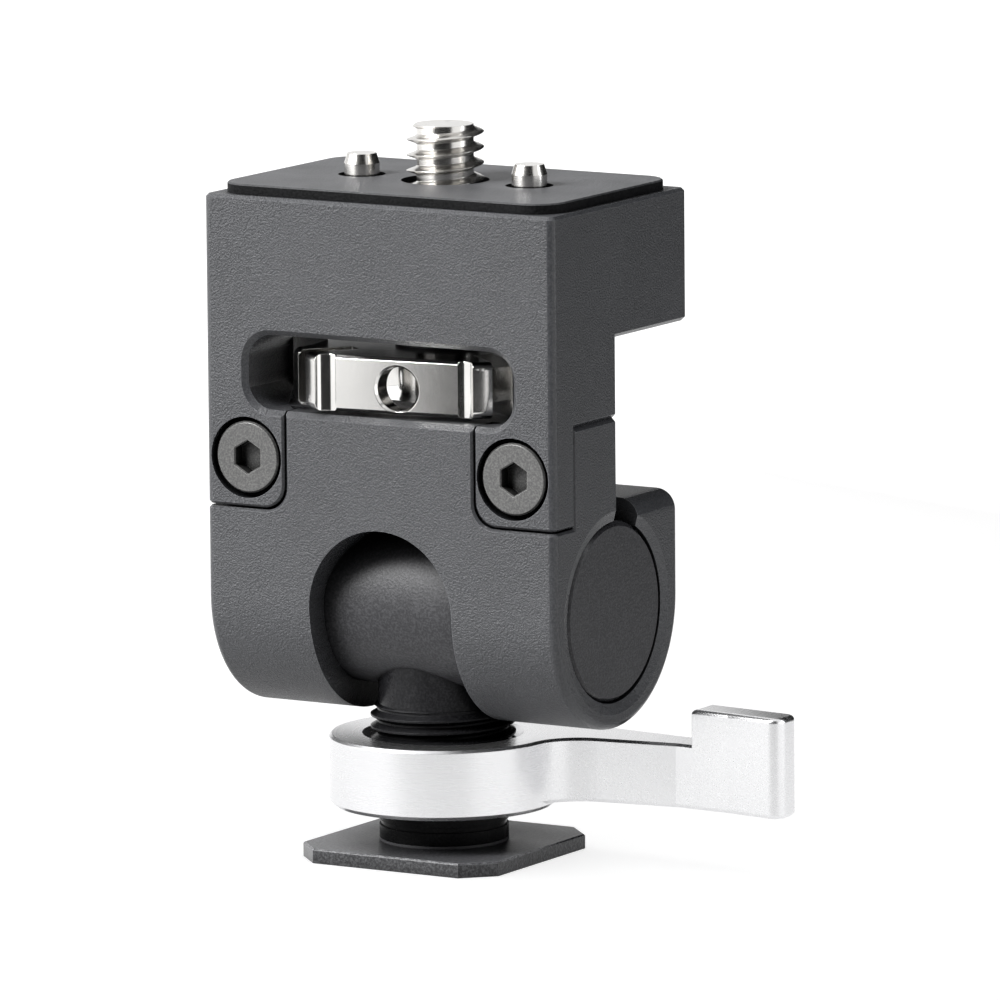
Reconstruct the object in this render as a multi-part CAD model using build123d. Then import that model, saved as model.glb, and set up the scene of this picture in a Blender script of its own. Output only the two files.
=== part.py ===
"""Tilting monitor mount: cold-shoe foot, lever nut, tilt barrel in a C-clamp, 1/4 inch stud head.

Millimetres, +Z up.  The origin is the centre of the foot's underside, on the stem's axis.
The tilt axis runs along X, and the front, with the wheel window, faces -Y.
"""
import os

from build123d import *

# ---- driving dimensions ----------------------------------------------------------------
half_width = 16.5          # head, half the width along X
tilt_z = 21.2              # height of the tilt axis
clamp_front = 9.7          # distance of the front face from the tilt axis
belly_radius = 9.85        # outer radius of the clamp round the barrel
belly_y = 0.15             # centre of the belly, slightly off the tilt axis
belly_z = 21.45
barrel_radius = 7.4
barrel_half_length = 16.3
bore_radius = 7.45
bore_mouth_radius = 8.35   # shallow bevel round each mouth of the bore
bore_mouth_depth = 0.25
stem_slot_radius = 6.75    # slot that the stem swings through

foot_side = 18.6           # accessory-shoe foot
foot_corner = 2.4
foot_thickness = 1.2
spigot_radius = 4.2
spigot_top = 2.6
foot_edge = 0.12           # edge break round the foot's and the pad's upper faces
countersink_radius = 3.85
countersink_depth = 1.8
pivot_hole_radius = 2.05
pivot_radius = 2.0         # M4
pivot_head_radius = 3.78
pivot_head_z = 0.05        # the head sits just inside the foot's underside
pivot_top = 11.0
pivot_socket = 2.5         # across flats
pivot_socket_depth = 1.4
running_clearance = 0.05   # radial running fit used throughout

neck_radius = 5.3
stem_bottom = 1.45
stem_float = 0.03          # axial play over the slip washer
thread_radius = 5.95       # M12 x 1 stem thread
thread_bottom = 4.6
thread_top = 12.5
thread_chamfer = 0.3
barrel_chamfer = 0.4
neck_groove_depth = 0.15   # shallow groove round the neck
neck_groove_bottom = 2.5
neck_groove_top = 2.95
stem_bore_radius = 2.0

nut_radius = 9.35
nut_bottom = 4.25
nut_top = 10.05
arm_bottom = 4.75
nut_recess = 0.4           # depth of the washer's recess under the nut
nut_recess_radius = 7.65
nut_washer_bottom = 4.05
ring_chamfer = 0.35
arm_bottom_chamfer = 0.3
arm_top_chamfer = 0.22
thread_mouth_depth = 0.7   # bevel where the nut's thread starts
thread_mouth_flare = 0.7
arm_joint_radius = 4.0     # inside corner between the ring and the arm
tip_radius = 1.1
tab_edge_radius = 0.4
tab_top = 13.0
tab_start = 21.15

seat_z = 37.1              # joint plane between clamp and upper housing
shelf_z = 43.6             # ceiling of the wheel slot
top_z = 54.5
shelf_back = 11.8
pad_thickness = 0.85
pad_inset = 0.75           # from the housing's edges
pad_corner_radius = 2.6
pad_stud_hole = 3.6
pad_pin_hole = 1.95
housing_edge = 0.25        # edge break round the housing's top
screw_y = 1.1              # stud axis, forward of the shelf's centre line

tab_inner_x = 8.85         # corner tabs of the upper housing
tab_bottom_z = 28.9
tab_depth = 3.2
tab_gap = 0.18             # seam between a tab and its pocket
tab_corner_radius = 2.0
corner_screw_x = 12.6
corner_screw_z = 33.1
corner_screw_radius = 2.95
counterbore_radius = 3.35
counterbore_depth = 1.65
screw_head_recess = 0.15
screw_head_chamfer = 0.15
screw_socket_depth = 1.15
screw_socket_edge = 0.1
screw_shank_end = -1.4     # Y of the screw's tip, in a hole slightly deeper
screw_hole_end = -1.2
screw_socket = 2.35        # across flats
screw_shank_radius = 1.25
screw_hole_radius = 1.6
seam_bevel = 0.2           # edge break along the seams
side_bevel = 0.32          # the same on the two flat sides, at the seat
edge_radius = 0.7          # rounding of the outer upright edges

window_half = 12.55
window_top = 43.25
window_corner_radius = 2.3
window_bevel = 0.45
lintel_thickness = 2.0     # front wall above the window
cavity_radius = 12.85
guard_radius = 13.45       # outside of the thin guards beside the wheel
guard_bottom = 38.2
guard_back = 3.2
wheel_radius = 12.6
wheel_bottom = 37.45
wheel_top = 42.05
wheel_turn = 7.0           # degrees that the wheel is turned at rest
facet_distance = 9.87
facet_half_width = 5.4
flare_x = 5.9              # groove at each end of a facet, in the facet's own plan
flare_y = 10.96
flare_radius = 1.2
wheel_rim_radius = 0.6
wheel_web_radius = 8.1     # hollow under the wheel's cover
wheel_hub_radius = 4.0
wheel_cover = 1.15
facet_chamfer = 0.28
corner_slot_half = 0.85    # slot cut through each corner of the wheel
corner_slot_start = 7.9
bar_hole_radius = 1.8
bar_hole_drop = 0.25       # below the wheel's middle
bar_hole_edge = 0.2
washer_radius = 4.2        # slip washer over the wheel
washer_thickness = 0.4

stud_radius = 3.175        # 1/4 inch
stud_top = 59.95
stud_shank_radius = 2.6
stud_step_z = 52.6
stud_chamfer = 0.55
stud_clearance = 0.08      # radial gap round the stud's shoulder
shoulder_gap = 0.05        # between the shoulder and its ledge
stud_relief_radius = 2.9   # plain neck between the shoulder and the free thread
stud_free_z = 55.25
pin_x = 7.95
pin_radius = 1.45
pin_top = 57.1
pin_ledge_z = 52.4
pin_neck_radius = 1.25
pin_free_z = 55.3
pin_flange_radius = 2.0
pin_flange_height = 1.2
pin_taper = 0.8            # height of the tapered nose
pin_nose_inset = 0.25
pin_guide_radius = 0.8     # stalk inside the spring
pin_guide_bottom = 49.0
spring_bore_gap = 0.1      # radial gap between a pin's flange and its bore
spring_wire_radius = 0.22
spring_coil_radius = 1.45
spring_pitch = 0.86
plug_slot_half = 0.3
plug_slot_depth = 0.8
plug_bottom = 43.9
plug_top = 46.0
lip_gap = 3.5              # slot between the column and the rear lip
lip_top = 30.0
lip_corner_radius = 1.7

pad_top = top_z + pad_thickness
front_y = -clamp_front
rear_y = belly_y + belly_radius
big = 60.0


# ---- helpers ---------------------------------------------------------------------------
def block(x0, x1, y0, y1, z0, z1):
    """Box given by its limits."""
    centre = Pos((x0 + x1) / 2, (y0 + y1) / 2, (z0 + z1) / 2)
    return centre * Box(abs(x1 - x0), abs(y1 - y0), abs(z1 - z0))


def rod(radius, z0, z1, x=0.0, y=0.0):
    """Cylinder along Z."""
    return Pos(x, y, (z0 + z1) / 2) * Cylinder(radius, z1 - z0)


def rod_x(radius, x0, x1, y, z):
    """Cylinder along X."""
    return Pos((x0 + x1) / 2, y, z) * Rot(0, 90, 0) * Cylinder(radius, x1 - x0)


def rod_y(radius, y0, y1, x, z):
    """Cylinder along Y."""
    return Pos(x, (y0 + y1) / 2, z) * Rot(90, 0, 0) * Cylinder(radius, y1 - y0)


def tube(outer, inner, z0, z1, x=0.0, y=0.0):
    """Ring along Z."""
    return rod(outer, z0, z1, x, y) - rod(inner, z0 - 1, z1 + 1, x, y)


def cone(bottom_radius, top_radius, z0, z1, x=0.0, y=0.0):
    """Frustum along Z."""
    return Pos(x, y, (z0 + z1) / 2) * Cone(bottom_radius, top_radius, z1 - z0)


def hex_socket_y(across_flats, y0, y1, x, z):
    """Hexagonal prism along Y, for a socket in a screw head, with corners up and down."""
    hexagon = Rot(0, 0, 90) * RegularPolygon(across_flats / 2, 6, major_radius=False)
    return Pos(x, y1, z) * Rot(90, 0, 0) * extrude(hexagon, y1 - y0)


def both_sides(shape):
    """A shape on the right and its mirror image on the left."""
    return shape + mirror(shape, Plane.YZ)


def near(value, target):
    """Whether two lengths agree."""
    return abs(value - target) < 0.01


# ---- foot ------------------------------------------------------------------------------
def make_foot_plate():
    """Square plate with cut corners, a spigot on top and a countersink below."""
    plate = extrude(Rectangle(foot_side, foot_side), foot_thickness)
    plate = chamfer(plate.edges().filter_by(Axis.Z), foot_corner)
    plate = chamfer(plate.faces().sort_by(Axis.Z)[-1].edges(), foot_edge)
    foot = plate + rod(spigot_radius, foot_thickness / 2, spigot_top)
    foot -= cone(countersink_radius, pivot_hole_radius, 0, countersink_depth)
    return foot - rod(pivot_hole_radius, -1, spigot_top + 1)


def make_foot_washer():
    """Thin slip washer on which the stem turns."""
    return tube(neck_radius, spigot_radius + running_clearance, foot_thickness,
                stem_bottom - stem_float)


def make_pivot_screw():
    """M4 countersunk screw that holds the foot to the stem."""
    head = cone(pivot_head_radius, pivot_radius, pivot_head_z, countersink_depth)
    shank = rod(pivot_radius, countersink_depth - 0.1, pivot_top)
    hexagon = RegularPolygon(pivot_socket / 2, 6, major_radius=False)
    return head + shank - Pos(0, 0, pivot_head_z) * extrude(hexagon, pivot_socket_depth)


# ---- stem ------------------------------------------------------------------------------
def make_tilt_barrel():
    """Horizontal barrel with its threaded stem, turned as one piece."""
    barrel = rod_x(barrel_radius, -barrel_half_length, barrel_half_length, 0, tilt_z)
    barrel = chamfer(barrel.edges().filter_by(GeomType.CIRCLE), barrel_chamfer)
    thread = rod(thread_radius, thread_bottom, thread_top)
    thread = chamfer(thread.edges().filter_by(GeomType.CIRCLE), thread_chamfer)
    stem = barrel + rod(neck_radius, stem_bottom, tilt_z) + thread
    stem -= tube(neck_radius + 1, neck_radius - neck_groove_depth,
                 neck_groove_bottom, neck_groove_top)
    stem -= rod(spigot_radius + running_clearance, 0, spigot_top + 0.1)
    return stem - rod(stem_bore_radius, 0, thread_top - 0.5)


def make_nut_washer():
    """Black thrust washer under the lever nut: it slides on the stem without turning."""
    return tube(nut_recess_radius - running_clearance, thread_radius + running_clearance,
                nut_washer_bottom, nut_bottom + nut_recess - running_clearance)


def lever_outline():
    """Plan of the nut's ring, arm and thumb tab."""
    arm = make_face(Polyline(
        (0, 1.1), (19.6, 4.05), (24.6, 3.75), (29.8, 3.0),
        (29.9, 6.15), (20.4, 7.2), (1.8, 9.17), close=True))
    plan = Circle(nut_radius) + arm
    joint = plan.vertices().sort_by_distance((9.0, 2.45, 0))[0]
    plan = fillet(joint, arm_joint_radius)
    tip = plan.vertices().sort_by(Axis.X)[-2:]
    return fillet(tip, tip_radius)


def make_lever_nut():
    """Ring nut with a lever arm that ends in a raised thumb tab."""
    plan = lever_outline()
    nut = extrude(Pos(0, 0, arm_bottom) * plan, nut_top - arm_bottom)
    nut = chamfer(nut.faces().sort_by(Axis.Z)[0].edges(), arm_bottom_chamfer)
    nut = chamfer(nut.faces().sort_by(Axis.Z)[-1].edges(), arm_top_chamfer)
    ring = rod(nut_radius, nut_bottom, nut_top - 1.0)
    ring = chamfer(ring.edges().filter_by(GeomType.CIRCLE).sort_by(Axis.Z)[:1], ring_chamfer)
    tab_base = arm_bottom + 0.5
    tab = extrude(Pos(0, 0, tab_base) * plan, tab_top - tab_base)
    tab &= block(tab_start, big, -big, big, 0, big)
    tab = fillet(tab.faces().sort_by(Axis.Z)[-1].edges(), tab_edge_radius)
    nut += ring + tab
    nut -= rod(thread_radius + running_clearance, 0, big)
    nut -= cone(thread_radius, thread_radius + thread_mouth_flare,
                nut_top - thread_mouth_depth, nut_top)
    return nut - rod(nut_recess_radius, nut_bottom - 1, nut_bottom + nut_recess)


# ---- head: clamp -----------------------------------------------------------------------
def tab_space(clearance):
    """Solid of one right-hand corner tab; the pocket for it has no clearance."""
    tab = block(tab_inner_x + clearance, half_width + 1, front_y - 1, front_y + tab_depth,
                tab_bottom_z + clearance, seat_z)
    corner = tab.edges().filter_by(Axis.Y).sort_by(Axis.Z)[:2].sort_by(Axis.X)[0]
    return fillet(corner, tab_corner_radius)


def tab_seam_edges(body, clearance):
    """Edges where a corner tab's outline, or its pocket's, meets the outer skin."""
    def on_seam(edge):
        middle = edge.center()
        x, y, z = abs(middle.X), middle.Y, middle.Z
        if not tab_bottom_z - 0.1 < z < seat_z - 0.1:
            return False
        on_front = near(y, front_y) and x < tab_inner_x + clearance + tab_corner_radius
        on_side = near(x, half_width) and near(y, front_y + tab_depth)
        below = near(z, tab_bottom_z + clearance) and (
            near(y, front_y) or near(x, half_width) or y < front_y + edge_radius)
        return on_front or on_side or below
    return body.edges().filter_by(on_seam)


def side_edges(body, z):
    """Edges along Y on the two flat sides at a given height."""
    return body.edges().filter_by(Axis.Y).filter_by(
        lambda e: near(abs(e.center().X), half_width) and near(e.center().Z, z))


def bore_mouth():
    """Cone that bevels the right-hand mouth of the barrel's bore."""
    mouth = Cone(bore_radius, bore_mouth_radius, bore_mouth_depth)
    return Pos(half_width - bore_mouth_depth / 2, 0, tilt_z) * Rot(0, 90, 0) * mouth


def make_clamp_body():
    """C-shaped clamp: front column, round belly and a rear lip that is free at its tip."""
    section = Plane.YZ * (Pos(belly_y, belly_z) * Circle(belly_radius))
    front = Plane.YZ * (Pos(front_y / 2, (belly_z + seat_z) / 2)
                        * Rectangle(clamp_front, seat_z - belly_z))
    rear = Plane.YZ * (Pos(rear_y / 2, (belly_z + lip_top) / 2)
                       * Rectangle(rear_y, lip_top - belly_z))
    above_lip = Plane.YZ * (Pos(rear_y, lip_top + 2.0) * Rectangle(2 * rear_y, 4.0))
    body = extrude(section + rear - above_lip + front, half_width, both=True)
    lip_corners = body.edges().filter_by(Axis.Y).filter_by(lambda e: near(e.center().Z, lip_top))
    body = fillet(lip_corners, lip_corner_radius)
    end_edges = body.edges().filter_by(
        lambda e: near(abs(e.center().X), half_width) and e.center().Z < seat_z - 0.1
        and not (near(e.center().Y, 0) and e.center().Z > tilt_z))
    body = fillet(end_edges, edge_radius)
    body -= rod_x(bore_radius, -big, big, 0, tilt_z)
    body -= both_sides(bore_mouth())
    body -= block(-big, big, 0, lip_gap, tilt_z, lip_top + 1)
    body -= both_sides(tab_space(0.0))
    slot = rod_y(stem_slot_radius, -big, big, 0, tilt_z)
    slot += block(-stem_slot_radius, stem_slot_radius, -big, big, tilt_z - big, tilt_z)
    body -= slot - block(-big, big, -3.0, 3.0, tilt_z, big)
    body = chamfer(tab_seam_edges(body, 0.0), seam_bevel)
    sill = body.edges().filter_by(Axis.X).sort_by_distance((0, front_y, seat_z))[0]
    body = chamfer(sill, window_bevel)
    body = chamfer(side_edges(body, seat_z), side_bevel)
    for side in (-1, 1):
        body -= rod_y(screw_shank_radius, front_y, screw_hole_end, side * corner_screw_x,
                      corner_screw_z)
    return body


# ---- head: upper housing ---------------------------------------------------------------
def make_upper_housing():
    """Top block with a rear shelf, the wheel slot, the front window and two corner tabs."""
    top = block(-half_width, half_width, front_y, shelf_back, shelf_z, top_z)
    column = block(-half_width, half_width, front_y, 0, seat_z, shelf_z + 0.1)
    corner_tab = tab_space(tab_gap)
    corner_tab &= block(0, half_width, front_y, 0, 0, seat_z)
    body = top + column + both_sides(corner_tab)
    upright = body.edges().filter_by(Axis.Z).filter_by(
        lambda e: near(abs(e.center().X), half_width)
        and (near(e.center().Y, front_y) or near(e.center().Y, shelf_back)))
    body = fillet(upright, edge_radius)
    body = chamfer(side_edges(body, seat_z) + side_edges(body, shelf_z), side_bevel)
    body = chamfer(body.faces().sort_by(Axis.Z)[-1].edges(), housing_edge)
    guards = rod(guard_radius, guard_bottom, shelf_z + 0.1, 0, screw_y)
    body += guards & block(-big, big, -1, guard_back, 0, big)
    body -= rod(cavity_radius, seat_z - 1, window_top, 0, screw_y)
    behind_lintel = block(-big, big, front_y + lintel_thickness, big, 0, shelf_z)
    body -= rod(cavity_radius, seat_z - 1, shelf_z, 0, screw_y) & behind_lintel
    window = block(-window_half, window_half, front_y - 1, -3.0, seat_z, window_top)
    body -= fillet(window.edges().filter_by(Axis.Y), window_corner_radius)
    body = chamfer(tab_seam_edges(body, tab_gap), seam_bevel)
    rim = body.edges().filter_by(
        lambda e: near(e.center().Y, front_y) and abs(e.center().X) < window_half + 0.1
        and seat_z - 0.1 < e.center().Z < shelf_z)
    body = chamfer(rim, window_bevel)
    body -= rod(stud_shank_radius + running_clearance, shelf_z - 1, top_z + 1, 0, screw_y)
    body -= rod(stud_radius + stud_clearance, stud_step_z, top_z + 1, 0, screw_y)
    for side in (-1, 1):
        body -= rod(pin_radius + running_clearance, pin_ledge_z - 1, top_z + 1, side * pin_x, screw_y)
        body -= rod(pin_flange_radius + spring_bore_gap, shelf_z - 1, pin_ledge_z,
                    side * pin_x, screw_y)
        body -= rod_y(counterbore_radius, front_y - 1, front_y + counterbore_depth,
                      side * corner_screw_x, corner_screw_z)
        body -= rod_y(screw_hole_radius, front_y - 1, front_y + tab_depth + 1,
                      side * corner_screw_x, corner_screw_z)
    return body


def make_seat_pad():
    """Rubber-like pad recessed from the housing's edges, with clearance holes."""
    centre_y = (front_y + shelf_back) / 2
    plan = RectangleRounded(2 * (half_width - pad_inset), shelf_back - front_y - 2 * pad_inset,
                            pad_corner_radius)
    pad = extrude(Pos(0, centre_y, top_z) * plan, pad_thickness)
    pad = chamfer(pad.faces().sort_by(Axis.Z)[-1].edges(), foot_edge)
    pad -= rod(pad_stud_hole, top_z - 1, pad_top + 1, 0, screw_y)
    for side in (-1, 1):
        pad -= rod(pad_pin_hole, top_z - 1, pad_top + 1, side * pin_x, screw_y)
    return pad


def make_corner_screw(side):
    """Low-head M3 socket screw that holds a corner tab to the clamp."""
    x = side * corner_screw_x
    head_face = front_y + screw_head_recess
    screw = rod_y(corner_screw_radius, head_face, front_y + counterbore_depth, x, corner_screw_z)
    screw = chamfer(screw.edges().filter_by(GeomType.CIRCLE).sort_by(Axis.Y)[:1],
                    screw_head_chamfer)
    screw += rod_y(screw_shank_radius - 0.01, front_y + counterbore_depth - 0.2,
                   screw_shank_end, x, corner_screw_z)
    screw -= hex_socket_y(screw_socket, front_y, head_face + screw_socket_depth, x,
                          corner_screw_z)
    mouth = screw.edges().filter_by(GeomType.LINE).filter_by(
        lambda e: near(e.center().Y, head_face))
    return chamfer(mouth, screw_socket_edge)


# ---- head: locating pins ---------------------------------------------------------------
def make_locating_pin(side):
    """Sprung pin with a tapered nose, a thinner neck, a stop flange and a spring guide."""
    x = side * pin_x
    shoulder = pin_top - pin_taper
    pin = rod(pin_radius, pin_free_z, shoulder, x, screw_y)
    pin += cone(pin_radius, pin_radius - pin_nose_inset, shoulder, pin_top, x, screw_y)
    pin += rod(pin_neck_radius, pin_ledge_z - 0.1, pin_free_z, x, screw_y)
    pin += rod(pin_flange_radius, pin_ledge_z - pin_flange_height, pin_ledge_z, x, screw_y)
    return pin + rod(pin_guide_radius, pin_guide_bottom, pin_ledge_z - 0.1, x, screw_y)


def make_pin_spring(side):
    """Compression spring between the pin's flange and the plug."""
    bottom = plug_top + spring_wire_radius
    height = pin_ledge_z - pin_flange_height - spring_wire_radius - bottom
    path = Helix(pitch=spring_pitch, height=height, radius=spring_coil_radius)
    section = Plane(origin=path @ 0, z_dir=path % 0) * Circle(spring_wire_radius)
    return Pos(side * pin_x, screw_y, bottom) * sweep(section, path=path, is_frenet=True)


def make_pin_plug(side):
    """Slotted plug that closes the spring's bore from below."""
    x = side * pin_x
    plug_radius = pin_flange_radius + spring_bore_gap - 0.01
    plug = rod(plug_radius, plug_bottom, plug_top, x, screw_y)
    return plug - block(x - 3, x + 3, screw_y - plug_slot_half, screw_y + plug_slot_half,
                        plug_bottom - 1, plug_bottom + plug_slot_depth)


# ---- head: captive screw ---------------------------------------------------------------
def make_wheel_washer():
    """Slip washer that rides up and down with the wheel."""
    return tube(washer_radius, stud_shank_radius + running_clearance, wheel_top,
                wheel_top + washer_thickness, 0, screw_y)


def facet_cutter():
    """Plan of the material outside one facet, with a round groove at each end."""
    outside = 2 * wheel_radius
    cutter = Pos(0, (facet_distance + outside) / 2) * Rectangle(
        2 * facet_half_width, outside - facet_distance)
    cutter += Pos(0, (flare_y + outside) / 2) * Rectangle(
        2 * (flare_x + flare_radius), outside - flare_y)
    for side in (-1, 1):
        cutter += Pos(side * flare_x, flare_y) * Circle(flare_radius)
    return cutter


def make_thumb_wheel():
    """Four-sided hollow wheel with slotted corners and a tommy-bar hole in each facet."""
    wheel = rod(wheel_radius, wheel_bottom, wheel_top)
    wheel = fillet(wheel.edges().filter_by(GeomType.CIRCLE), wheel_rim_radius)
    for quarter in range(4):
        turn = Rot(0, 0, 90 * quarter)
        wheel -= Pos(0, 0, wheel_bottom - 1) * extrude(turn * facet_cutter(), wheel_top)
    facet_edges = wheel.edges().filter_by(GeomType.LINE).filter_by(
        lambda e: near(e.length, 2 * facet_half_width))
    wheel = chamfer(facet_edges, facet_chamfer)
    wheel -= tube(wheel_web_radius, wheel_hub_radius, wheel_bottom - 1, wheel_top - wheel_cover)
    middle = (wheel_bottom + wheel_top) / 2 - bar_hole_drop
    for quarter in range(4):
        turn = Rot(0, 0, 90 * quarter)
        hole = rod_y(bar_hole_radius, wheel_hub_radius + 2, wheel_radius + 2, 0, middle)
        countersink = Pos(0, facet_distance - bar_hole_edge / 2, middle) * Rot(-90, 0, 0) * Cone(
            bar_hole_radius, bar_hole_radius + bar_hole_edge, bar_hole_edge)
        notch = Rot(0, 0, 45) * block(-corner_slot_half, corner_slot_half, corner_slot_start,
                                      wheel_radius + 1, 0, big)
        wheel -= turn * (hole + countersink + notch)
    wheel -= rod(stud_shank_radius, 0, big)
    return Pos(0, screw_y, 0) * Rot(0, 0, wheel_turn) * wheel


def make_mounting_stud():
    """1/4 inch stud on a thinner shank: the shoulder keeps it from falling through."""
    thread = rod(stud_radius, stud_free_z, stud_top, 0, screw_y)
    thread = chamfer(thread.edges().filter_by(GeomType.CIRCLE).sort_by(Axis.Z)[-1:], stud_chamfer)
    relief = rod(stud_relief_radius, stud_step_z + shoulder_gap, stud_free_z, 0, screw_y)
    shank = rod(stud_shank_radius, wheel_bottom + 0.4, stud_step_z + 1, 0, screw_y)
    return thread + relief + shank


# ---- write every node ------------------------------------------------------------------
nodes = {
    "foot_plate": make_foot_plate(),
    "foot_washer": make_foot_washer(),
    "pivot_screw": make_pivot_screw(),
    "tilt_barrel": make_tilt_barrel(),
    "nut_washer": make_nut_washer(),
    "lever_nut": make_lever_nut(),
    "clamp_body": make_clamp_body(),
    "upper_housing": make_upper_housing(),
    "seat_pad": make_seat_pad(),
    "wheel_washer": make_wheel_washer(),
    "thumb_wheel": make_thumb_wheel(),
    "mounting_stud": make_mounting_stud(),
}
for name, side in (("left", -1), ("right", 1)):
    nodes["corner_screw_" + name] = make_corner_screw(side)
    nodes["locating_pin_" + name] = make_locating_pin(side)
    nodes["pin_spring_" + name] = make_pin_spring(side)
    nodes["pin_plug_" + name] = make_pin_plug(side)

os.makedirs("parts", exist_ok=True)
for name, shape in nodes.items():
    export_step(shape, os.path.join("parts", name + ".step"))
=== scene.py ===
"""Looks of a small tilting monitor mount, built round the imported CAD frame.  Metres, +Z up."""
import math

import bmesh
import bpy
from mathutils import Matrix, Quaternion, Vector


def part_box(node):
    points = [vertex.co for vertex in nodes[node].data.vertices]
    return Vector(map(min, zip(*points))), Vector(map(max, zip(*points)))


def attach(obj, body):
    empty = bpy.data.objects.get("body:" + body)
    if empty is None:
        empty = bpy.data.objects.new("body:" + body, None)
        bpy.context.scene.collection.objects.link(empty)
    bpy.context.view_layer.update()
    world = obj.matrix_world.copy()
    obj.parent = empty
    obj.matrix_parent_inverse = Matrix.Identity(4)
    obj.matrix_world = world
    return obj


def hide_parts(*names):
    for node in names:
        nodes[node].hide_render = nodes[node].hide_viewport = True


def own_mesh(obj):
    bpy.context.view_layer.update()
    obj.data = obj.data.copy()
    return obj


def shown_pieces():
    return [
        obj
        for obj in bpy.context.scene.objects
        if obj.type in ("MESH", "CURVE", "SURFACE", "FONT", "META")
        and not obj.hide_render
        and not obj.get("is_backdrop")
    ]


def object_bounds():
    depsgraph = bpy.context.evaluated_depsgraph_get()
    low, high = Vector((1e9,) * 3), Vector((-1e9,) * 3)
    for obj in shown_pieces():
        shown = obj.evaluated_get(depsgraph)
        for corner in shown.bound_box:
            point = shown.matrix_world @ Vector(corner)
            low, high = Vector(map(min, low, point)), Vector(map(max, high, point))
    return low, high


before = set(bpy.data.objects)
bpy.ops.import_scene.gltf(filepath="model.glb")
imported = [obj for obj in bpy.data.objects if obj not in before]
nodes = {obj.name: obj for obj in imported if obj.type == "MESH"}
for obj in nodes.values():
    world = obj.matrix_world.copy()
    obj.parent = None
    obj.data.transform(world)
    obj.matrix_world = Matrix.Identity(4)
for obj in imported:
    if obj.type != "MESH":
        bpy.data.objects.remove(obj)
cad_low, cad_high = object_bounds()
scene = bpy.context.scene
MM = 0.001

# ---- sizes that the frame doesn't give ---------------------------------------------------
STUD_PITCH = 1.27 * MM
STUD_ROOT = 2.33 * MM
STUD_TOP_RADIUS = 2.44 * MM
STUD_THREAD_LENGTH = 7.3 * MM
SHANK_RADIUS = 2.6 * MM
SHANK_END_RADIUS = 2.45 * MM
SHANK_BEVEL = 0.15 * MM
STEM_PITCH = 1.0 * MM
STEM_CREST = 5.95 * MM
STEM_ROOT = 5.38 * MM
STEM_FROM = 4.6 * MM
STEM_TO = 12.5 * MM
STEM_SLEEVE_INNER = 4.9 * MM
STEM_CUT_INNER = 5.2 * MM
STEM_CUT_OUTER = 6.4 * MM
STEM_CUT_MARGIN = 0.02 * MM
STEM_THREAD_MARGIN = 0.03 * MM
# The stem's thread and neck get painted shade; the next two lines set where it falls and how dark it
# is.
NECK_PAINTED_SHADE = (5.45 * MM, 13.3 * MM, 16.3 * MM)   # core radius, thread's end, neck's top
POST_PAINTED_SHADE = 0.35
WELD_DISTANCE = 1e-7
SHARP_ANGLE = math.radians(28)


# ---- camera --------------------------------------------------------------------------------
def make_camera():
    """Long lens from the front right, a little above the horizon."""
    yaw, elevation, roll = math.radians(31.07), math.radians(8.99), math.radians(-0.48)
    distance = 0.938
    target = Vector((0.00289, 0.00447, 0.02876))
    back = Vector((math.sin(yaw) * math.cos(elevation),
                   -math.cos(yaw) * math.cos(elevation), math.sin(elevation)))
    data = bpy.data.cameras.new("camera")
    data.sensor_width = 36.0
    data.lens = 413.6
    data.clip_start, data.clip_end = 0.05, 20.0
    camera = bpy.data.objects.new("camera", data)
    camera.rotation_mode = "QUATERNION"
    camera.location = target + back * distance
    camera.rotation_quaternion = (-back).to_track_quat("-Z", "Y") @ Quaternion((0, 0, 1), roll)
    scene.collection.objects.link(camera)
    scene.camera = camera


# ---- node helpers ----------------------------------------------------------------------------
def add(tree, kind, settings=None, values=None):
    """New node with its properties and its input sockets set or linked."""
    made = tree.nodes.new(kind)
    for key, value in (settings or {}).items():
        setattr(made, key, value)
    for key, value in (values or {}).items():
        socket = made.inputs[key]
        if isinstance(value, bpy.types.NodeSocket):
            tree.links.new(value, socket)
        else:
            socket.default_value = value
    return made


def maths(tree, operation, *values):
    """Output of a Math node."""
    return add(tree, "ShaderNodeMath", {"operation": operation},
               dict(enumerate(values))).outputs[0]


def remap(tree, value, low, high, to_low, to_high):
    """Output of a clamped Map Range node."""
    return add(tree, "ShaderNodeMapRange", {"clamp": True}, {
        "Value": value, "From Min": low, "From Max": high,
        "To Min": to_low, "To Max": to_high}).outputs["Result"]


def mix_colour(tree, factor, first, second):
    """Output of a colour Mix node."""
    made = add(tree, "ShaderNodeMix", {"data_type": "RGBA"}, {0: factor})
    for socket, value in ((made.inputs[6], first), (made.inputs[7], second)):
        if isinstance(value, bpy.types.NodeSocket):
            tree.links.new(value, socket)
        else:
            socket.default_value = (*value, 1.0)
    return made.outputs[2]


def noise(tree, vector, scale, detail=2.0, roughness=0.5):
    """Output value of a Noise node."""
    return add(tree, "ShaderNodeTexNoise", {"noise_dimensions": "3D"}, {
        "Vector": vector, "Scale": scale, "Detail": detail,
        "Roughness": roughness}).outputs[0]


def edge_normal(tree, radius):
    """Normal rounded over sharp edges, and a 0..1 mask that is 1 along them."""
    bevel = add(tree, "ShaderNodeBevel", {"samples": 6}, {"Radius": radius}).outputs[0]
    true = add(tree, "ShaderNodeNewGeometry").outputs["True Normal"]
    dot = add(tree, "ShaderNodeVectorMath", {"operation": "DOT_PRODUCT"},
              {0: bevel, 1: true}).outputs["Value"]
    return bevel, remap(tree, dot, 0.80, 0.985, 1.0, 0.0)


def painted_recess_shade(tree, reach, darkest):
    """Painted shade from ambient occlusion: 1 on open faces, falling to darkest in seams, sockets and
    hollows.
    """
    open_share = add(tree, "ShaderNodeAmbientOcclusion", {"samples": 8},
                     {"Distance": reach}).outputs["AO"]
    return remap(tree, open_share, 0.25, 0.85, darkest, 1.0)


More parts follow.
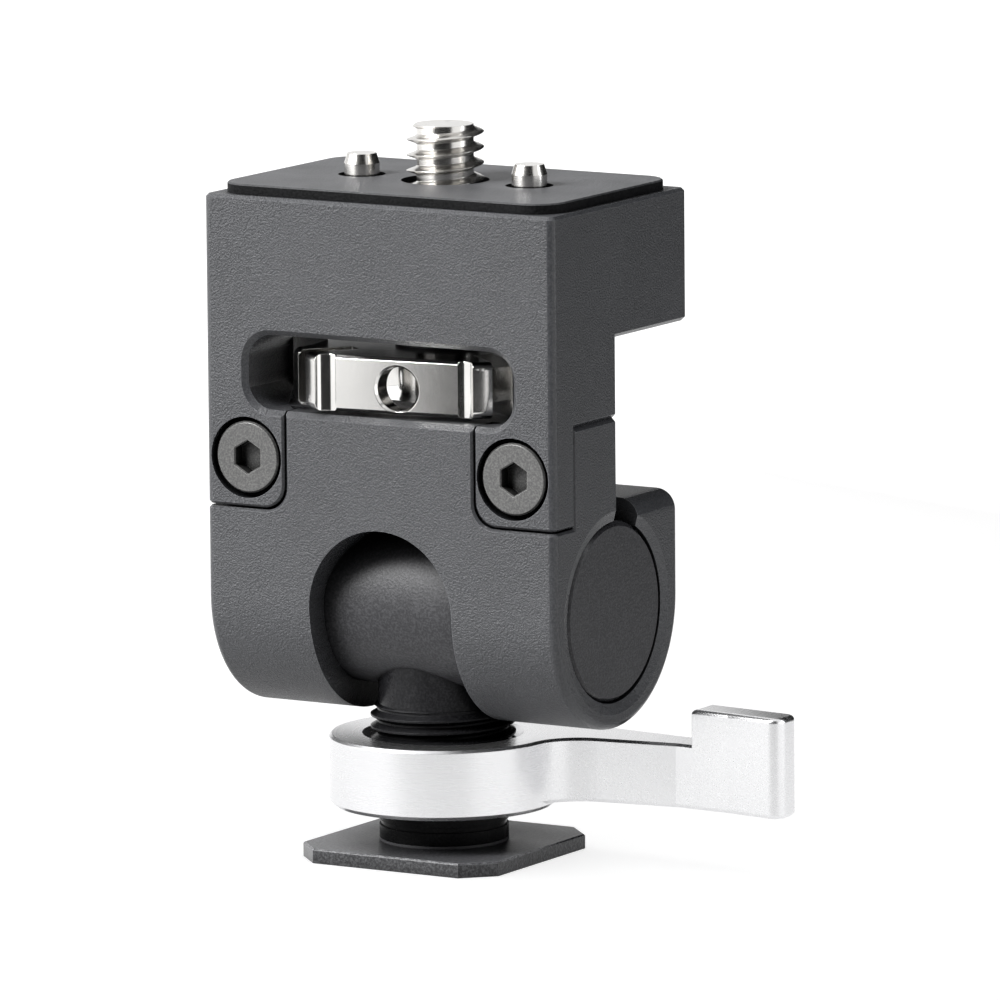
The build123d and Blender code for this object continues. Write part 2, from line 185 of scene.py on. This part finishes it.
def facing_up(tree):
    """1 on faces that look up in the piece's own frame, 0 on its sides."""
    normal = add(tree, "ShaderNodeTexCoord").outputs["Normal"]
    height = add(tree, "ShaderNodeSeparateXYZ", None, {0: normal}).outputs["Z"]
    return remap(tree, height, 0.55, 0.85, 0.0, 1.0)


def painted_post_shade(tree, where, radius, thread_end, top):
    """Painted shade: the post darkness factor on an upright post (all below thread_end, its core
    below top), else 1.
    """
    parts = add(tree, "ShaderNodeSeparateXYZ", None, {0: where}).outputs
    flat = add(tree, "ShaderNodeCombineXYZ", None, {"X": parts["X"], "Y": parts["Y"]}).outputs[0]
    reach = add(tree, "ShaderNodeVectorMath", {"operation": "LENGTH"}, {0: flat}).outputs["Value"]
    core = remap(tree, reach, radius - 0.1 * MM, radius + 0.1 * MM, 1.0, 0.0)
    core = maths(tree, "MULTIPLY", core,
                 remap(tree, parts["Z"], top - 0.2 * MM, top + 0.2 * MM, 1.0, 0.0))
    low = remap(tree, parts["Z"], thread_end - 0.2 * MM, thread_end + 0.2 * MM, 1.0, 0.0)
    return remap(tree, maths(tree, "MAXIMUM", core, low), 0.0, 1.0, 1.0, POST_PAINTED_SHADE)


def cut_edge(tree):
    """1 on the rounded upright edges and round mouths, 0 on flat faces and the round belly."""
    normal = add(tree, "ShaderNodeTexCoord").outputs["Normal"]
    parts = add(tree, "ShaderNodeSeparateXYZ", None, {0: normal}).outputs
    across = maths(tree, "MAXIMUM", maths(tree, "ABSOLUTE", parts["Y"]),
                   maths(tree, "ABSOLUTE", parts["Z"]))
    product = maths(tree, "MULTIPLY", maths(tree, "ABSOLUTE", parts["X"]), across)
    return remap(tree, product, 0.10, 0.30, 0.0, 1.0)


def bump(tree, height, distance, strength, normal):
    """Output of a Bump node."""
    return add(tree, "ShaderNodeBump", None, {
        "Height": height, "Distance": distance, "Strength": strength,
        "Normal": normal}).outputs[0]


def start_material(name):
    """Empty material with one Principled shader; returns it, its tree and the shader."""
    material = bpy.data.materials.new(name)
    material.use_nodes = True
    tree = material.node_tree
    shader = next(n for n in tree.nodes if n.type == "BSDF_PRINCIPLED")
    return material, tree, shader


# ---- materials -------------------------------------------------------------------------------
def blasted_metal(name, dark, light, rough, grain=6200.0, metal=0.0, edge=0.0, bump_height=0.03,
                  specular=0.5, painted_shade_post=None):
    """Bead-blasted, dyed metal: two-tone grain, blotches, edges with wear and a painted highlight,
    painted shade in its seams and hollows.

    Its post argument holds the radius, thread_end and top for the painted shade on the upright post.
    """
    material, tree, shader = start_material(name)
    where = add(tree, "ShaderNodeTexCoord").outputs["Object"]
    fine = noise(tree, where, grain, 2.0, 0.65)
    cloud = noise(tree, where, 140.0, 3.0)
    speck = remap(tree, fine, 0.42, 0.64, 0.0, 1.0)
    colour = mix_colour(tree, speck, dark, light)
    blotch = remap(tree, cloud, 0.3, 0.7, 0.93, 1.07)
    # Painted shade: darker colour and specular in seams, sockets and hollows, and on the stem's post
    # when one is given.
    depth = painted_recess_shade(tree, 4.0 * MM, 0.10)
    # Painted shade on the stem's upright post as well.
    if painted_shade_post is not None:
        depth = maths(tree, "MULTIPLY", depth, painted_post_shade(tree, where, *painted_shade_post))
    polish = cut_edge(tree)
    # Sharp edges painted lighter, partly as wear and partly as a painted highlight.
    rounded, worn_and_highlit = edge_normal(tree, 0.07 * MM)
    worn_and_highlit = maths(tree, "MULTIPLY", worn_and_highlit, edge)
    colour = mix_colour(tree, worn_and_highlit, colour, tuple(4.0 * c for c in light))
    colour = add(tree, "ShaderNodeVectorMath", {"operation": "SCALE"},
                 {0: colour, "Scale": maths(tree, "MULTIPLY", blotch, depth)}).outputs[0]
    tree.links.new(colour, shader.inputs["Base Color"])
    mottled = remap(tree, cloud, 0.3, 0.7, rough - 0.04, rough + 0.05)
    smoother = remap(tree, polish, 0.0, 1.0, 1.0, 0.5)
    tree.links.new(maths(tree, "MULTIPLY", mottled, smoother), shader.inputs["Roughness"])
    relief = remap(tree, polish, 0.0, 1.0, 1.0, 0.2)
    tree.links.new(bump(tree, fine, bump_height * MM, relief, rounded), shader.inputs["Normal"])
    shader.inputs["Metallic"].default_value = metal
    tree.links.new(maths(tree, "MULTIPLY", depth, specular), shader.inputs["Specular IOR Level"])
    return material


def turned_metal(name, colour, rough, axis, lines=9000.0, line_height=0.004, edge=0.35, tint=0.10,
                 top_painted_shade=1.0):
    """Lathe-turned metal: fine rings about a vertical axis, bright edges from wear and a painted
    highlight, faint smears.

    The top factor is painted shade that dims the faces that look up.
    """
    material, tree, shader = start_material(name)
    where = add(tree, "ShaderNodeTexCoord").outputs["Object"]
    centred = add(tree, "ShaderNodeVectorMath", {"operation": "SUBTRACT"},
                  {0: where, 1: (axis[0], axis[1], 0.0)}).outputs[0]
    parts = add(tree, "ShaderNodeSeparateXYZ", None, {0: centred}).outputs
    flat = add(tree, "ShaderNodeCombineXYZ", None, {"X": parts["X"], "Y": parts["Y"]}).outputs[0]
    radius = add(tree, "ShaderNodeVectorMath", {"operation": "LENGTH"}, {0: flat}).outputs["Value"]
    ring = add(tree, "ShaderNodeCombineXYZ", None, {"X": radius, "Y": parts["Z"]}).outputs[0]
    rings = noise(tree, ring, lines, 3.0, 0.6)
    smear = noise(tree, where, 260.0, 3.0)
    rounded, worn_and_highlit = edge_normal(tree, 0.06 * MM)
    shade = remap(tree, smear, 0.3, 0.7, 1.0 - tint, 1.0)
    base = add(tree, "ShaderNodeVectorMath", {"operation": "SCALE"},
               {0: colour, "Scale": shade}).outputs[0]
    # Sharp edges painted brighter, as wear and as a painted highlight.
    bright = tuple(min(1.0, 1.18 * c) for c in colour)
    base = mix_colour(tree, maths(tree, "MULTIPLY", worn_and_highlit, edge), base, bright)
    # Painted shade on the faces that look up.
    base = add(tree, "ShaderNodeVectorMath", {"operation": "SCALE"},
               {0: base, "Scale": remap(tree, facing_up(tree), 0.0, 1.0, 1.0, top_painted_shade)}).outputs[0]
    tree.links.new(base, shader.inputs["Base Color"])
    mixed = maths(tree, "ADD", maths(tree, "MULTIPLY", rings, 0.6),
                  maths(tree, "MULTIPLY", smear, 0.4))
    tree.links.new(remap(tree, mixed, 0.3, 0.7, rough * 0.92, rough * 1.1),
                   shader.inputs["Roughness"])
    tree.links.new(bump(tree, rings, line_height * MM, 0.5, rounded), shader.inputs["Normal"])
    shader.inputs["Metallic"].default_value = 1.0
    return material


def polymer(name, dark, light, rough, specular, grain, side_painted_shade=1.0, relief=0.01):
    """Moulded rubber or nylon with a fine even texture; its side factor is painted shade that dims
    its sides.
    """
    material, tree, shader = start_material(name)
    where = add(tree, "ShaderNodeTexCoord").outputs["Object"]
    fine = noise(tree, where, grain, 2.0)
    cloud = noise(tree, where, 220.0, 2.0)
    rounded, _ = edge_normal(tree, 0.05 * MM)
    # Painted shade on the sides.
    shade = remap(tree, facing_up(tree), 0.0, 1.0, side_painted_shade, 1.0)
    speck = remap(tree, maths(tree, "ADD", fine, maths(tree, "MULTIPLY", cloud, 0.4)),
                  0.55, 0.85, 0.0, 1.0)
    tree.links.new(add(tree, "ShaderNodeVectorMath", {"operation": "SCALE"},
                       {0: mix_colour(tree, speck, dark, light), "Scale": shade}).outputs[0],
                   shader.inputs["Base Color"])
    tree.links.new(remap(tree, fine, 0.3, 0.7, rough - 0.06, rough + 0.06),
                   shader.inputs["Roughness"])
    tree.links.new(bump(tree, fine, relief * MM, 0.6, rounded), shader.inputs["Normal"])
    tree.links.new(maths(tree, "MULTIPLY", shade, specular), shader.inputs["Specular IOR Level"])
    return material


def dress(node, material):
    """Gives every material slot of a CAD node the same material."""
    made = nodes[node]
    if not made.material_slots:
        made.data.materials.append(material)
    for socket in made.material_slots:
        socket.material = material


def axis_of(node):
    """Plan position of a turned node's axis."""
    low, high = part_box(node)
    return (low.x + high.x) / 2, (low.y + high.y) / 2


# ---- threads ---------------------------------------------------------------------------------
def thread_depth(phase, crest_share, root_share):
    """Depth of a thread, 0 at the crest and 1 at the root, for a phase of 0..1 along the pitch."""
    phase = abs((phase % 1.0) - 0.5) * 2
    flank = 1.0 - crest_share - root_share
    return min(1.0, max(0.0, (1.0 - phase - crest_share) / flank))


def threaded_body(name, centre, low, high, crest, root, pitch, top_limit=None, bottom_limit=None,
                  inner=None, segments=112, rows=12, shares=(0.16, 0.20), start=0.0):
    """Closed rod or sleeve with a real right-hand helical thread on its outside.

    top_limit and bottom_limit cap the radius at that end; away from it the cap grows by 1.2 times
    the distance.  inner is the bore of a sleeve.  shares are the crest's and the root's shares of
    the pitch, and start shifts the thread along it.
    """
    snap = pitch * 1e-5

    def radius_at(angle, z):
        depth = thread_depth(z / pitch - angle / math.tau + start, *shares)
        radius = crest + (root - crest) * depth
        for limit, end in ((top_limit, high), (bottom_limit, low)):
            if limit is not None:
                radius = min(radius, limit + abs(end - z) * 1.2)
        return radius

    mesh = bmesh.new()
    first = math.floor((low / pitch - 1.0) * rows) - 1
    last = math.ceil((high / pitch) * rows) + 1
    columns = []
    for i in range(segments):
        angle = math.tau * i / segments
        column = {k: min(high, max(low, pitch * (k / rows + i / segments)))
                  for k in range(first, last + rows + 1)}
        columns.append((angle, column))
    made = {}

    def vertex(i, k):
        """Vertex of column i at helix row k; rows past an end share that end's vertex."""
        if i == segments:
            i, k = 0, k + rows
        angle, column = columns[i]
        z = column[min(max(k, first), last + rows)]
        key = (i, round(z / snap))
        if key not in made:
            radius = radius_at(angle, z)
            made[key] = mesh.verts.new((centre[0] + radius * math.cos(angle),
                                        centre[1] + radius * math.sin(angle), z))
        return made[key]

    for i in range(segments):
        for k in range(first, last):
            corners = []
            for corner in (vertex(i, k), vertex(i + 1, k), vertex(i + 1, k + 1), vertex(i, k + 1)):
                if corner not in corners:
                    corners.append(corner)
            if len(corners) > 2 and not all(abs(c.co.z - corners[0].co.z) < 1e-9 for c in corners):
                mesh.faces.new(corners)
    rings = [[made[(i, round(end / snap))] for i in range(segments)] for end in (low, high)]
    if inner is None:
        for ring in rings:
            hub = mesh.verts.new((centre[0], centre[1], ring[0].co.z))
            for i in range(segments):
                mesh.faces.new((hub, ring[i], ring[(i + 1) % segments]))
    else:
        walls = []
        for ring in rings:
            wall = [mesh.verts.new((centre[0] + inner * math.cos(math.tau * i / segments),
                                    centre[1] + inner * math.sin(math.tau * i / segments),
                                    ring[0].co.z)) for i in range(segments)]
            walls.append(wall)
            for i in range(segments):
                j = (i + 1) % segments
                mesh.faces.new((wall[i], ring[i], ring[j], wall[j]))
        for i in range(segments):
            j = (i + 1) % segments
            mesh.faces.new((walls[0][i], walls[0][j], walls[1][j], walls[1][i]))
    bmesh.ops.recalc_face_normals(mesh, faces=mesh.faces)
    return finish_mesh(name, mesh)


def finish_mesh(name, mesh):
    """Object from a bmesh, smooth except across sharp angles."""
    data = bpy.data.meshes.new(name)
    mesh.to_mesh(data)
    mesh.free()
    smooth(data)
    made = bpy.data.objects.new(name, data)
    scene.collection.objects.link(made)
    return made


def smooth(data):
    """Smooth shading that keeps the edges sharper than SHARP_ANGLE."""
    for face in data.polygons:
        face.use_smooth = True
    data.set_sharp_from_angle(angle=SHARP_ANGLE)


def lathe(name, centre, profile, segments=96):
    """Closed solid turned about a vertical axis from (radius, z) points, first and last joined."""
    mesh = bmesh.new()
    rings = []
    for radius, z in profile:
        if radius < 1e-7:
            rings.append([mesh.verts.new((centre[0], centre[1], z))])
        else:
            rings.append([mesh.verts.new((centre[0] + radius * math.cos(math.tau * i / segments),
                                          centre[1] + radius * math.sin(math.tau * i / segments), z))
                          for i in range(segments)])
    for first, second in zip(rings, rings[1:] + rings[:1]):
        if len(first) == 1 and len(second) == 1:
            continue
        for i in range(segments):
            j = (i + 1) % segments
            corners = [first[i % len(first)], first[j % len(first)],
                       second[j % len(second)], second[i % len(second)]]
            corners = [c for n, c in enumerate(corners) if c not in corners[:n]]
            mesh.faces.new(corners)
    bmesh.ops.recalc_face_normals(mesh, faces=mesh.faces)
    return finish_mesh(name, mesh)


def boolean(target, other, operation):
    """Applies an exact Boolean to target and removes the other object."""
    modifier = target.modifiers.new("boolean", "BOOLEAN")
    modifier.operation = operation
    modifier.solver = "EXACT"
    modifier.object = other
    graph = bpy.context.evaluated_depsgraph_get()
    data = bpy.data.meshes.new_from_object(target.evaluated_get(graph))
    target.modifiers.clear()
    target.data = data
    bpy.data.objects.remove(other)


def make_stud():
    """1/4 inch stud with its real thread, relief and shank."""
    low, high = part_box("mounting_stud")
    centre = ((low.x + high.x) / 2, (low.y + high.y) / 2)
    crest = (high.x - low.x) / 2
    thread_from = high.z - STUD_THREAD_LENGTH
    shank_top = thread_from + 0.4 * MM
    stud = threaded_body("threaded_stud", centre, thread_from, high.z, crest, STUD_ROOT, STUD_PITCH,
                         top_limit=STUD_TOP_RADIUS, shares=(0.06, 0.44), start=0.38, rows=16)
    shank = lathe("stud_shank", centre, [
        (0.0, low.z), (SHANK_END_RADIUS, low.z), (SHANK_RADIUS, low.z + SHANK_BEVEL),
        (SHANK_RADIUS, thread_from - 0.05 * MM), (SHANK_RADIUS, shank_top), (0.0, shank_top)])
    boolean(stud, shank, "UNION")
    smooth(stud.data)
    return stud


def make_stem():
    """Barrel and stem in one, with the real stem thread in place of the plain cylinder."""
    source = nodes["tilt_barrel"]
    stem = bpy.data.objects.new("threaded_stem", source.data.copy())
    scene.collection.objects.link(stem)
    weld(stem)
    cut_from, cut_to = STEM_FROM - STEM_CUT_MARGIN, STEM_TO + STEM_CUT_MARGIN
    sleeve = lathe("sleeve", (0.0, 0.0), [
        (STEM_CUT_INNER, cut_from), (STEM_CUT_OUTER, cut_from),
        (STEM_CUT_OUTER, cut_to), (STEM_CUT_INNER, cut_to)])
    boolean(stem, sleeve, "DIFFERENCE")
    thread = threaded_body("thread", (0.0, 0.0), STEM_FROM - STEM_THREAD_MARGIN,
                           STEM_TO + STEM_THREAD_MARGIN, STEM_CREST, STEM_ROOT, STEM_PITCH,
                           top_limit=STEM_ROOT, bottom_limit=STEM_ROOT,
                           inner=STEM_SLEEVE_INNER, segments=128)
    boolean(stem, thread, "UNION")
    smooth(stem.data)
    return stem


def make_spring(side):
    """Pin spring in its own mesh."""
    source = nodes["pin_spring_" + side]
    spring = bpy.data.objects.new("coil_spring_" + side, source.data.copy())
    scene.collection.objects.link(spring)
    weld(spring)
    smooth(spring.data)
    return spring


def shorten(spring):
    """Gives a spring its own copy of its mesh."""
    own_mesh(spring)


def weld(piece):
    """Joins the doubled vertices along sharp edges and drops the imported normals."""
    if "custom_normal" in piece.data.attributes:
        piece.data.attributes.remove(piece.data.attributes["custom_normal"])
    mesh = bmesh.new()
    mesh.from_mesh(piece.data)
    bmesh.ops.remove_doubles(mesh, verts=mesh.verts, dist=WELD_DISTANCE)
    mesh.to_mesh(piece.data)
    mesh.free()


def settle(piece, body, node, material):
    """Places a new piece on its body in place of a CAD node."""
    piece.data.materials.clear()
    piece.data.materials.append(material)
    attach(piece, body)
    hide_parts(node)


# ---- studio ------------------------------------------------------------------------------------
def make_floor():
    """Plain pale floor."""
    mesh = bmesh.new()
    bmesh.ops.create_grid(mesh, x_segments=8, y_segments=8, size=6.0)
    floor = finish_mesh("floor", mesh)
    floor.location.z = cad_low.z
    material, tree, shader = start_material("floor_white")
    where = add(tree, "ShaderNodeTexCoord").outputs["Object"]
    cloud = noise(tree, where, 3.0, 2.0)
    tree.links.new(mix_colour(tree, remap(tree, cloud, 0.3, 0.7, 0.0, 1.0),
                              (0.56, 0.56, 0.56), (0.58, 0.58, 0.58)), shader.inputs["Base Color"])
    shader.inputs["Roughness"].default_value = 0.9
    shader.inputs["Specular IOR Level"].default_value = 0.1
    shader.inputs["Emission Color"].default_value = (1.0, 1.0, 1.0, 1.0)
    shader.inputs["Emission Strength"].default_value = 0.72
    floor.data.materials.append(material)
    floor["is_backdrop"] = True


def stand(thing, azimuth, distance, height, lateral=0.0):
    """Puts an upright light or card at an azimuth round the part, facing it.

    Azimuth 0 is the front (-Y) and 90 the right (+X); lateral moves it sideways in its own plane.
    """
    angle = math.radians(azimuth)
    outward = Vector((math.sin(angle), -math.cos(angle), 0.0))
    sideways = Vector((math.cos(angle), math.sin(angle), 0.0))
    thing.location = outward * distance + sideways * lateral + Vector((0, 0, height))
    thing.rotation_mode = "QUATERNION"
    thing.rotation_quaternion = (-outward).to_track_quat("-Z", "Y")


def softbox(name, width, height, radiance, colour=(1.0, 1.0, 1.0)):
    """Area light of a given radiance that the camera doesn't see."""
    data = bpy.data.lights.new(name, "AREA")
    data.shape = "RECTANGLE"
    data.size, data.size_y = width, height
    data.energy = radiance * math.pi * width * height
    data.color = colour
    light = bpy.data.objects.new(name, data)
    scene.collection.objects.link(light)
    light.visible_camera = False
    return light


def card(name, width, height, shade):
    """Dark card that keeps the pale surroundings out of the reflections on one side."""
    mesh = bmesh.new()
    bmesh.ops.create_grid(mesh, x_segments=1, y_segments=1, size=0.5)
    made = finish_mesh(name, mesh)
    made.scale = (width, height, 1.0)
    material, _, shader = start_material(name + "_cloth")
    shader.inputs["Base Color"].default_value = (shade, shade, shade, 1.0)
    shader.inputs["Roughness"].default_value = 1.0
    shader.inputs["Specular IOR Level"].default_value = 0.0
    made.data.materials.append(material)
    made.visible_camera = False
    made.visible_shadow = False
    made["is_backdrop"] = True
    return made


def lit_only(light, pieces):
    """Keeps a light on the given pieces alone."""
    receivers = bpy.data.collections.new("lit_by_" + light.name)
    for piece in pieces:
        receivers.objects.link(piece)
    light.light_linking.receiver_collection = receivers


def make_studio(nut, wheel):
    """White surroundings, three lights on the part, one on its nut, one on its wheel, two cards."""
    world = bpy.data.worlds.new("studio")
    world.use_nodes = True
    background = world.node_tree.nodes["Background"]
    background.inputs["Color"].default_value = (1.0, 1.0, 1.0, 1.0)
    background.inputs["Strength"].default_value = 1.0
    scene.world = world
    scene.view_settings.view_transform = "Standard"
    key = softbox("key", width=0.5, height=0.5, radiance=47.0)
    stand(key, azimuth=-33, distance=1.0, height=0.85)
    key_target = Vector((0, 0, 0.03))
    key.rotation_quaternion = (key_target - key.location).to_track_quat("-Z", "Y")
    panel = softbox("panel", width=0.42, height=0.55, radiance=1.7)
    stand(panel, azimuth=-46, distance=0.36, height=0.30)
    strip = softbox("strip", width=0.03, height=0.40, radiance=6.5, colour=(0.94, 0.97, 1.0))
    stand(strip, azimuth=106, distance=0.32, height=0.22)
    for light in (key, panel, strip):
        lit_only(light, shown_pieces())
    fill = softbox("fill", width=0.30, height=0.20, radiance=0.35)
    stand(fill, azimuth=88, distance=0.30, height=0.06)
    lit_only(fill, [nut])
    kicker = softbox("kicker", width=0.018, height=0.08, radiance=1.0)
    stand(kicker, azimuth=68, distance=0.12, height=0.025)
    lit_only(kicker, [wheel])
    front = card("card_front", width=0.233, height=0.26, shade=0.015)
    stand(front, azimuth=18, distance=0.15, height=0.13, lateral=0.0137)
    right = card("card_right", width=0.28, height=0.32, shade=0.015)
    stand(right, azimuth=160, distance=0.15, height=0.16)


# ---- the object ----------------------------------------------------------------------------------
make_camera()
make_floor()

housing_skin = blasted_metal("black_anodised_blasted", (0.034, 0.035, 0.038),
                             (0.052, 0.053, 0.057), 0.42, grain=6000.0, edge=0.8,
                             bump_height=0.18, specular=0.34)
foot_skin = blasted_metal("black_anodised_foot", (0.020, 0.020, 0.022),
                          (0.075, 0.076, 0.080), 0.40, grain=4200.0, edge=0.9, bump_height=0.06)
# The stem's thread and neck get painted shade.
stem_skin = blasted_metal("black_anodised_stem", (0.016, 0.016, 0.018),
                          (0.036, 0.036, 0.039), 0.47, grain=5200.0, edge=0.35,
                          bump_height=0.04, specular=0.32, painted_shade_post=NECK_PAINTED_SHADE)
screw_skin = blasted_metal("black_oxide", (0.062, 0.062, 0.062), (0.112, 0.111, 0.108), 0.38,
                           metal=0.35, edge=0.6, bump_height=0.012)
# The pad's sides get painted shade, down to 12%.
rubber = polymer("pad_rubber_fine", (0.030, 0.031, 0.033), (0.066, 0.067, 0.071), 0.55, 0.45,
                 4600.0, side_painted_shade=0.12, relief=0.08)
nylon = polymer("black_nylon_matte", (0.020, 0.020, 0.022), (0.030, 0.030, 0.033), 0.55, 0.4,
                5000.0)

for name in ("clamp_body", "upper_housing"):
    dress(name, housing_skin)
dress("foot_plate", foot_skin)
for name in ("pivot_screw", "corner_screw_left", "corner_screw_right", "pin_plug_left",
             "pin_plug_right"):
    dress(name, screw_skin)
dress("seat_pad", rubber)
for name in ("foot_washer", "nut_washer", "wheel_washer"):
    dress(name, nylon)
dress("lever_nut", turned_metal("satin_aluminium", (0.80, 0.80, 0.81), 0.27, (0.0, 0.0),
                                lines=7000.0, line_height=0.0015, tint=0.02))
STEEL = (0.72, 0.705, 0.68)
# The wheel's upper faces get painted shade, down to 8%.
dress("thumb_wheel", turned_metal("stainless_wheel", (0.80, 0.79, 0.77), 0.13, axis_of("thumb_wheel"),
                                  line_height=0.003, top_painted_shade=0.08))
for side in ("left", "right"):
    dress("locating_pin_" + side, turned_metal("stainless_pin_" + side, STEEL, 0.2,
                                               axis_of("locating_pin_" + side)))
    spring = make_spring(side)
    settle(spring, "head", "pin_spring_" + side,
           turned_metal("spring_steel_" + side, (0.55, 0.55, 0.55), 0.22,
                        axis_of("pin_spring_" + side)))
    shorten(spring)
settle(make_stem(), "stem", "tilt_barrel", stem_skin)
settle(make_stud(), "screw", "mounting_stud",
       turned_metal("stainless_stud", STEEL, 0.22, axis_of("mounting_stud")))

make_studio(nodes["lever_nut"], nodes["thumb_wheel"])
